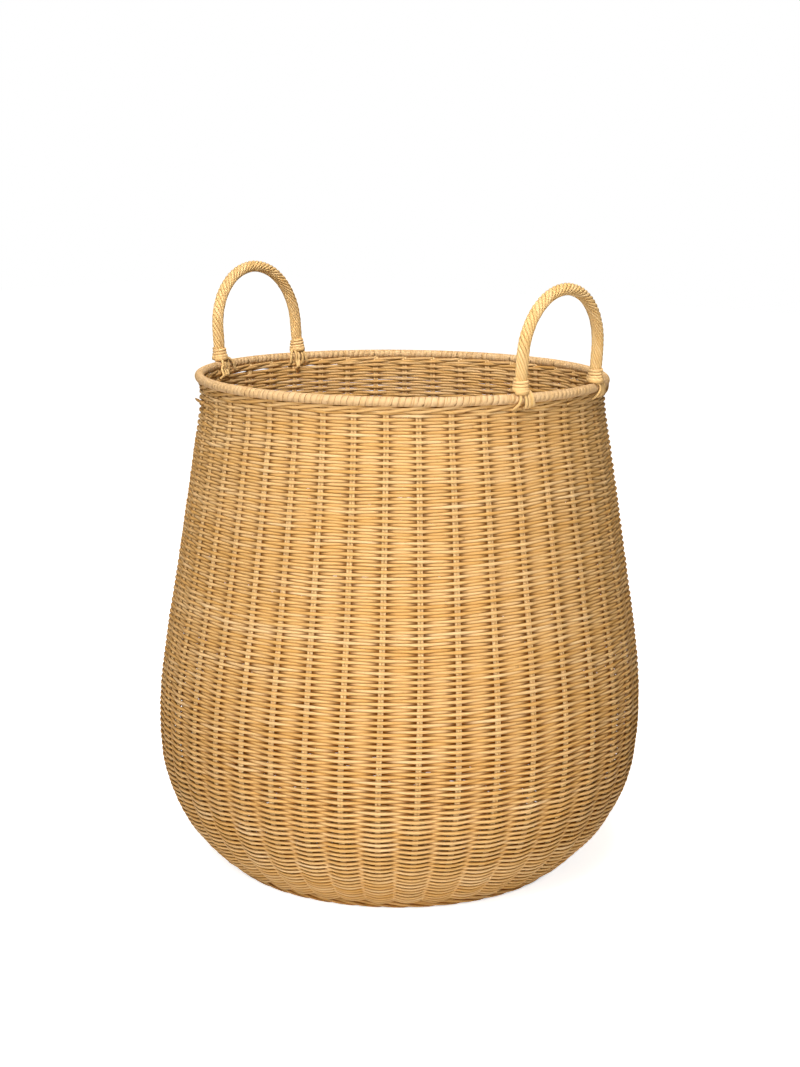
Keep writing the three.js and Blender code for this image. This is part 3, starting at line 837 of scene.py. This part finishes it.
for leg, ties in LASHINGS.items():
    side, end = leg.split("_")
    size = HANDLES[side]
    leg_aside = math.asin(size["half"] / RIM_RADIUS) * (1 if end == "first" else -1)
    angle = math.radians(size["middle"]) - CAMERA_SIDE + leg_aside
    facing = 1 if side == "right" else -1  # the ties cross the rim outwards here, inwards there
    wall_side = 2.2 if side == "right" else 8.7
    random = dice(1300 + len(waiting))
    parts = []
    for number, tie in enumerate(ties):
        half = LASHING_HALF * random.uniform(0.9, 1.12)
        parts.append(lashing(tie, angle, facing, wall_side, half, random.uniform(0, 1), number))
    piece(f"handle_{leg}_lashing_strands", parts, "handle_cane", f"handle_{leg}_lashing")

# %% [markdown]
# ## The foot
# At the bottom the stakes are bent sideways and rolled round one another, which gives the
# basket a thick twisted edge to stand on. Each cane is laid half way round the roll while
# it passes two stakes, and starts one stake further on than the last.

# %% Foot border
BORDER_MIDDLE, BORDER_SWEEP = 168.6, 2.2  # the roll's middle, and how far out a cane goes
BORDER_HEIGHT, BORDER_RISE = 3.9, 2.7
BORDER_LENGTH, BORDER_START = 2.3, 0.15  # in stakes
BORDER_WIDE, BORDER_THICK = 1.6, 1.2
border_parts = []
for number in range(STAKE_COUNT):
    t = np.linspace(0, 1, 36)
    angle = stake_angle(number - BORDER_START + BORDER_LENGTH * t)
    turn = math.radians(75) - math.radians(185) * t
    z = np.maximum(BORDER_HEIGHT + BORDER_RISE * np.sin(turn), BORDER_THICK)
    line = point_at(angle, BORDER_MIDDLE + BORDER_SWEEP * np.cos(turn), z) + lean(z)
    spoke = between_ways(outward(angle), UP, turn)
    # how far each part of a cane faces out of the roll: where it turns away, its colour gets painted shade
    seen = np.cos(turn + math.radians(30))
    taper = np.interp(t, [0, 0.12, 0.9, 1], [0.7, 1.0, 1.0, 0.6])
    tone = (number * 7 % 10) / 10
    cane = strand(line, spoke, BORDER_WIDE * taper, BORDER_THICK * taper, tone=tone, key=number, wave=seen)
    border_parts.append(cane)
print("canes of the border:", len(border_parts))

# %% The middle of the roll
# The canes' ends fill the middle of the roll, where no light comes: one ring stands for them, painted dark
# all round as shade.
CORE_HALF_HEIGHT, CORE_HALF_WIDTH = 3.1, 2.0
core_line = point_at(ALL_ROUND, BORDER_MIDDLE, BORDER_HEIGHT) + lean(np.full(1, BORDER_HEIGHT))
core_face, no_wave = outward(ALL_ROUND), np.zeros(len(ALL_ROUND))
core_shape = {"half_width": CORE_HALF_HEIGHT, "half_height": CORE_HALF_WIDTH, "closed": True}
border_parts.append(strand(core_line, core_face, **core_shape, tone=0.3, wave=no_wave, shade=2.0))
piece("foot_roll", border_parts, "border_cane", "foot_border")

# %% [markdown]
# ## The base
# The base starts as a cross of thick sticks. Their ends are spread like the spokes of a
# wheel, and strands are woven round them until the disc reaches the foot. It is hardly
# seen, so its rings are closed circles that go up and down, without a spiral's one end.

# %% Sticks of the base
STICKS_IN_ARM, STICK_APART, STICK_RADIUS, STICK_REACH = 5, 5.6, 1.9, 140
CROSS_HEIGHT, CROSS_LAYERS = 7.0, 0.9  # one arm lies over the other
SPREAD_FROM, SPREAD = 22, 7.28  # past 22 mm the sticks fan out, by this many of their spacings
cross_sticks = []
for arm in range(2):
    for number in range(STICKS_IN_ARM):
        offset = (number - 2) * STICK_APART
        reach_out = np.linspace(-STICK_REACH, STICK_REACH, 60)
        outside = eased((np.abs(reach_out) - SPREAD_FROM) / (STICK_REACH - SPREAD_FROM))
        fan = offset * (1 + SPREAD * outside)
        z = np.full(len(fan), CROSS_HEIGHT + (CROSS_LAYERS if arm else -CROSS_LAYERS))
        flat = [reach_out, fan] if arm else [fan, reach_out]
        line = np.stack([*flat, z], -1) + lean(z)
        up_way = np.broadcast_to(UP, line.shape)
        cross_sticks.append(strand(line, up_way, STICK_RADIUS, tone=0.4, key=number))
piece("base_sticks", cross_sticks, "stake_cane", "base_cross")

# %% Rings of the base
RING_COUNT, FIRST_RING, RINGS_APART, RING_RADIUS = 56, 24, 2.7, 1.4
RING_HEIGHT, RING_SWING, RING_WAVES = 9.0, 2.2, 10
rings = []
for number in range(RING_COUNT):
    z = RING_HEIGHT + RING_SWING * np.cos(RING_WAVES * ALL_ROUND + np.pi * (number % 2))
    line = point_at(ALL_ROUND, FIRST_RING + RINGS_APART * number, z) + lean(z)
    up_way, tone = np.broadcast_to(UP, line.shape), (number * 3 % 10) / 10
    rings.append(strand(line, up_way, RING_RADIUS, closed=True, tone=tone, key=number))
half_way_out = RING_COUNT // 2
piece("base_inner_rings", rings[:half_way_out], "weaving_cane", "base_weave")
piece("base_outer_rings", rings[half_way_out:], "weaving_cane", "base_weave")

# %% [markdown]
# ## Node maths as sums
# A finish is a sum of noises. Written as nodes, such a sum is long and hard to read. So a
# small class stands for one socket, and its plus, minus and times each add their node.

# %% A socket that can be summed
class Wire:
    """A socket of a material, so that a sum of two wires adds its own Math node."""

    def __init__(self, tree, socket=None):
        self.tree, self.socket = tree, socket

    def node(self, kind, settings=None, sockets=None, result=0):
        """Adds a node of this kind, sets it up, then fills its sockets with values or wires."""
        made = self.tree.nodes.new("ShaderNode" + kind)
        for name, value in (settings or {}).items():
            setattr(made, name, value)
        for key, value in (sockets or {}).items():
            if isinstance(value, Wire):
                self.tree.links.new(value.socket, made.inputs[key])
            else:
                made.inputs[key].default_value = value
        return Wire(self.tree, made.outputs[result]) if made.outputs else None

    def maths(self, operation, *values):
        """A Math node of these values, in their order."""
        return self.node("Math", {"operation": operation}, dict(enumerate(values)))

    def __add__(self, other):
        return self.maths("ADD", self, other)

    def __sub__(self, other):
        return self.maths("SUBTRACT", self, other)

    def __rsub__(self, other):
        return self.maths("SUBTRACT", other, self)

    def __mul__(self, other):
        return self.maths("MULTIPLY", self, other)

    __radd__ = __add__
    __rmul__ = __mul__

    def between(self, low, high):
        """0 below low, 1 above high, and smooth in between."""
        limits = {"Value": self, "From Min": low, "From Max": high}
        return self.node("MapRange", {"interpolation_type": "SMOOTHSTEP"}, limits)

    def blend(self, first, second):
        """This value mixes two colours: 0 gives the first, 1 the second."""
        sockets = {0: self, 6: first, 7: second}
        return self.node("Mix", {"data_type": "RGBA"}, sockets, 2)

    def stretched(self, scale):
        """A vector with each of its parts scaled."""
        return self.node("VectorMath", {"operation": "MULTIPLY"}, {0: self, 1: scale})

    def attribute(self, name, result):
        """What each point of a mesh remembers under this name."""
        return self.node("Attribute", {"attribute_name": name}, {}, result)

    def noise(self, scale, detail=2.0):
        """A cloudy value round 0.5 that changes along this vector."""
        sockets = {"Vector": self, "Scale": scale, "Detail": detail}
        return self.node("TexNoise", {}, sockets)


def bare(thing):
    """Clears the nodes of a material or a world, and starts its wiring."""
    thing.use_nodes = True
    thing.node_tree.nodes.clear()
    return Wire(thing.node_tree)


print("steps that a wire knows:", [name for name in vars(Wire) if name[0] != "_"])


# %% Colours
def colour(red, green, blue):
    """A colour as a socket wants it, with its last part for how solid it is."""
    return (red, green, blue, 1.0)


def deeper(shade, red, green, blue):
    """A darker colour, with more taken from its blue than its red: cane never darkens to grey."""
    return colour(shade[0] * red, shade[1] * green, shade[2] * blue)


print("a deeper tone of a mid cane:", deeper((0.5, 0.3, 0.1), 0.5, 0.3, 0.1))

# %% [markdown]
# ## The canes' finish
# Cane has a tone of its own in each strand, cloudy patches along it, fine fibres and a few
# scars, all of them noise, stretched along each strand by the numbers that its points
# remember. Shade is painted on as well: the gaps of the weave and the seams where two strands
# touch are painted darker, by numbers that the points keep too. A photograph of cane would
# need a map of the whole weave, and would stretch where a strand bends.

# %% Cane finishes
SHEEN = 0.03  # how much bare cane mirrors
COAT_ROUGHNESS = 0.4
FIBRE_HEIGHT, FIBRE_STRENGTH = 0.0002, 0.25  # metres, and how much of it is drawn


def cane_finish(
    name, colours, roughness=0.5, coat=0.03, seam_shade=0.75, tones=0.09, streaks=0.35, fine=0.9, uneven=0.55
):
    """A cane's material: a tone for each strand, fibres along it, stains, scars and painted shade."""
    pale, middle, deep = colours
    material = bpy.data.materials.new(name)
    start = bare(material)
    grain = start.attribute("grain", "Vector")
    tone, edge, painted_shade = (start.attribute(kept, "Fac") for kept in ("tone", "edge", "painted_shade"))
    # a stretch is one number along the cane and two across it: a small one draws a noise out
    fibres = grain.stretched((0.035, fine, fine)).noise(1.0, 3.0)
    patches = grain.stretched((0.012, 0.05, 0.05)).noise(1.0, 2.0)
    scars = grain.stretched((0.35, 0.9, 0.9)).noise(0.8, 2.0).between(0.66, 0.74)
    lightness = (tone * tones + patches * uneven + fibres * 0.35 + (0.4 - uneven)).between(0.1, 0.85)
    paint = lightness.blend(colour(*deep), colour(*middle))
    paint = (lightness * lightness).blend(paint, colour(*pale))
    paint = (fibres.between(0.52, 0.72) * streaks).blend(paint, deeper(deep, 0.8, 0.75, 0.65))
    paint = (scars * 0.45).blend(paint, deeper(deep, 0.55, 0.45, 0.35))
    # painted shade: where a strand dives behind a stake, its colour turns a deep brown
    paint = painted_shade.between(0.4, 0.86).blend(paint, deeper(deep, 0.38, 0.2, 0.06))
    # painted shade in the grooves where two strands touch, and along the peel's seams
    groove_shade = edge.between(0.5, 1.0) * (0.55 + patches * 0.5)
    paint = (groove_shade * seam_shade).blend(paint, deeper(deep, 0.42, 0.27, 0.08))
    scratches = grain.stretched((0.06, 1.4, 1.4)).noise(1.0, 2.0)
    bump = {"Strength": FIBRE_STRENGTH, "Distance": FIBRE_HEIGHT, "Height": scratches}
    sockets = {
        "Base Color": paint,
        "Roughness": roughness + fibres * 0.2 - patches * 0.1,
        "Specular IOR Level": SHEEN,
        "Normal": start.node("Bump", {}, bump),
        "Coat Weight": (1 - painted_shade) * coat,
        "Coat Roughness": COAT_ROUGHNESS,
    }
    shader = start.node("BsdfPrincipled", {}, sockets)
    start.node("OutputMaterial", {}, {"Surface": shader})
    return material


print("fibres stand up to", round(FIBRE_HEIGHT / MM, 2), "mm high")

# %% [markdown]
# ## One finish for each cane
# Thin weaving canes are the brownest, the stakes are paler, and the peel of the rim keeps
# the cane's smooth skin, so it has more gloss, and more painted shade darkens its seams.
# Each finish has a pale, a middle and a deep colour.

# %% The six finishes
CANES = {  # pale, middle and deep
    "weaving_cane": [(0.755, 0.59, 0.362), (0.68, 0.468, 0.218), (0.515, 0.28, 0.078)],
    "stake_cane": [(0.85, 0.64, 0.36), (0.81, 0.57, 0.27), (0.68, 0.44, 0.18)],
    "border_cane": [(0.84, 0.58, 0.30), (0.74, 0.45, 0.18), (0.50, 0.26, 0.07)],
    "rim_peel": [(0.66, 0.47, 0.275), (0.60, 0.41, 0.215), (0.52, 0.30, 0.10)],
    "handle_cane": [(0.80, 0.61, 0.355), (0.75, 0.525, 0.25), (0.59, 0.365, 0.13)],
    "collar_cane": [(0.86, 0.65, 0.39), (0.79, 0.54, 0.26), (0.60, 0.36, 0.12)],
}
smooth_skin = {"roughness": 0.45, "coat": 0.08, "seam_shade": 0.6, "fine": 0.6}
peel_skin = {"roughness": 0.42, "coat": 0.1, "seam_shade": 0.95, "fine": 0.8}
SKINS = {
    "rim_peel": {**peel_skin, "tones": 0.06, "streaks": 0.75, "uneven": 0.25},
    "handle_cane": {**smooth_skin, "streaks": 0.2},
    "collar_cane": {**smooth_skin, "streaks": 0.25},
}
finishes = {slot: cane_finish(slot, colours, **SKINS.get(slot, {})) for slot, colours in CANES.items()}
for made, slot in waiting:
    made.data.materials.append(finishes[slot])
print("finishes", len(finishes), "on", len(waiting), "pieces")

# %% [markdown]
# ## The floor
# The basket stands on a plain pale floor that fades into white, as on a studio sweep. To
# the camera the floor glows a little, so that it is white but keeps the basket's shadow.
# Under the basket it doesn't glow, because that would show through the weave.

# %% Floor
FLOOR_HALF = 6.0
FLOOR_BELOW = 0.0005  # just under the foot, so that the two never flicker
UNDER_FOOT, PAST_FOOT = 0.155, 0.172  # metres from the axis
GLOW_NEAR, GLOW_FAR = 0.8, 1.0
floor_mesh = bpy.data.meshes.new("floor")
corners = [(x * FLOOR_HALF, y * FLOOR_HALF, 0) for x, y in ((-1, -1), (1, -1), (1, 1), (-1, 1))]
floor_mesh.from_pydata(corners, [], [(0, 1, 2, 3)])
floor = in_scene("floor", floor_mesh)
floor.location.z = -FLOOR_BELOW
print("the floor is", 2 * FLOOR_HALF, "m wide")

# %% Floor paint
floor_material = bpy.data.materials.new("floor_paint")
start = bare(floor_material)
paint = start.node("BsdfDiffuse", {}, {"Color": colour(0.88, 0.88, 0.88)})
seen = start.node("LightPath", {}, {}, "Is Camera Ray")
glow = start.node("Emission", {}, {"Color": colour(1, 1, 1), "Strength": 1.0})
bright = start.node("AddShader", {}, {0: paint, 1: glow})
where = start.node("TexCoord", {}, {}, "Object").stretched((1, 1, 0))
distance = start.node("VectorMath", {"operation": "LENGTH"}, {0: where}, "Value")
whiter_far_off = distance.between(0.4, 1.6) * (GLOW_FAR - GLOW_NEAR) + GLOW_NEAR
dimmed = start.node("MixShader", {}, {0: whiter_far_off, 1: paint, 2: bright})
glowing = seen * distance.between(UNDER_FOOT, PAST_FOOT)
shown = start.node("MixShader", {}, {0: glowing, 1: paint, 2: dimmed})
start.node("OutputMaterial", {}, {"Surface": shown})
floor_mesh.materials.append(floor_material)
print("floor paint has", len(floor_material.node_tree.nodes), "nodes")

# %% [markdown]
# ## The surround
# A white surround gives the white background. Only the camera sees it white: to the basket
# it is a weak warm light, like light that has already bounced off pale wood, so the gaps
# of the weave stay brown and not grey.

# %% Surround
world = bpy.data.worlds.new("surround")
bpy.context.scene.world = world
start = bare(world)
camera_sees = start.node("LightPath", {}, {}, "Is Camera Ray")
soft = start.node("Background", {}, {"Color": colour(1, 0.82, 0.54), "Strength": 0.12})
white = start.node("Background", {}, {"Color": colour(1, 1, 1), "Strength": 1.0})
both = start.node("MixShader", {}, {0: camera_sees, 1: soft, 2: white})
start.node("OutputWorld", {}, {"Surface": both})
bpy.context.scene.view_settings.view_transform = "Standard"
print("view transform:", bpy.context.scene.view_settings.view_transform)

# %% [markdown]
# ## The lamps
# The light is soft and comes from the front. Two large lamps high up, one of them to the
# left, do most of it, so that the strands are bright on top and dark in their gaps. A weak
# one fills in from the front, and a warm one behind gives the far side a little light. Two
# small narrow ones reach what the others can't: the foot, and the inside of the far wall.

# %% Lamps
LEFT, NEARER = -PICTURE_RIGHT, -AWAY
COOL, CLEAR, WARM = (1.0, 1.0, 1.05), (1.0, 1.0, 1.0), (1.0, 0.64, 0.4)
MIDDLE = UP * 0.3


def lamp(name, place, size, power, tint, target=MIDDLE, spread=180):
    """A square soft lamp that points at the target, in metres, with a spread in degrees."""
    made = in_scene(name, bpy.data.lights.new(name, "AREA"))
    made.data.size = size
    made.data.energy = power
    made.data.color = tint
    made.data.spread = math.radians(spread)
    made.location = Vector(place)
    made.rotation_euler = (Vector(target) - made.location).to_track_quat("-Z", "Y").to_euler()


lamp("lamp_above_left", LEFT * 0.7 + NEARER * 2.2 + UP * 2.3, 1.2, 51, COOL)
lamp("lamp_front", NEARER * 2.6 + UP * 0.9, 1.4, 14, CLEAR)
lamp("lamp_high", NEARER * 1.1 + UP * 2.5, 1.2, 41.5, COOL)
lamp("lamp_behind", AWAY * 2.4 + UP * 1.5, 2.0, 14, WARM)
lamp("lamp_low", NEARER * 1.25 + UP * 0.05, 0.6, 1.05, CLEAR, UP * 0.02, 50)
lamp("lamp_inside", NEARER * 0.9 + UP * 1.5, 0.5, 0.42, CLEAR, AWAY * 0.2 + UP * 0.43, 30)
print("lamps", len(bpy.data.lights))

# %% [markdown]
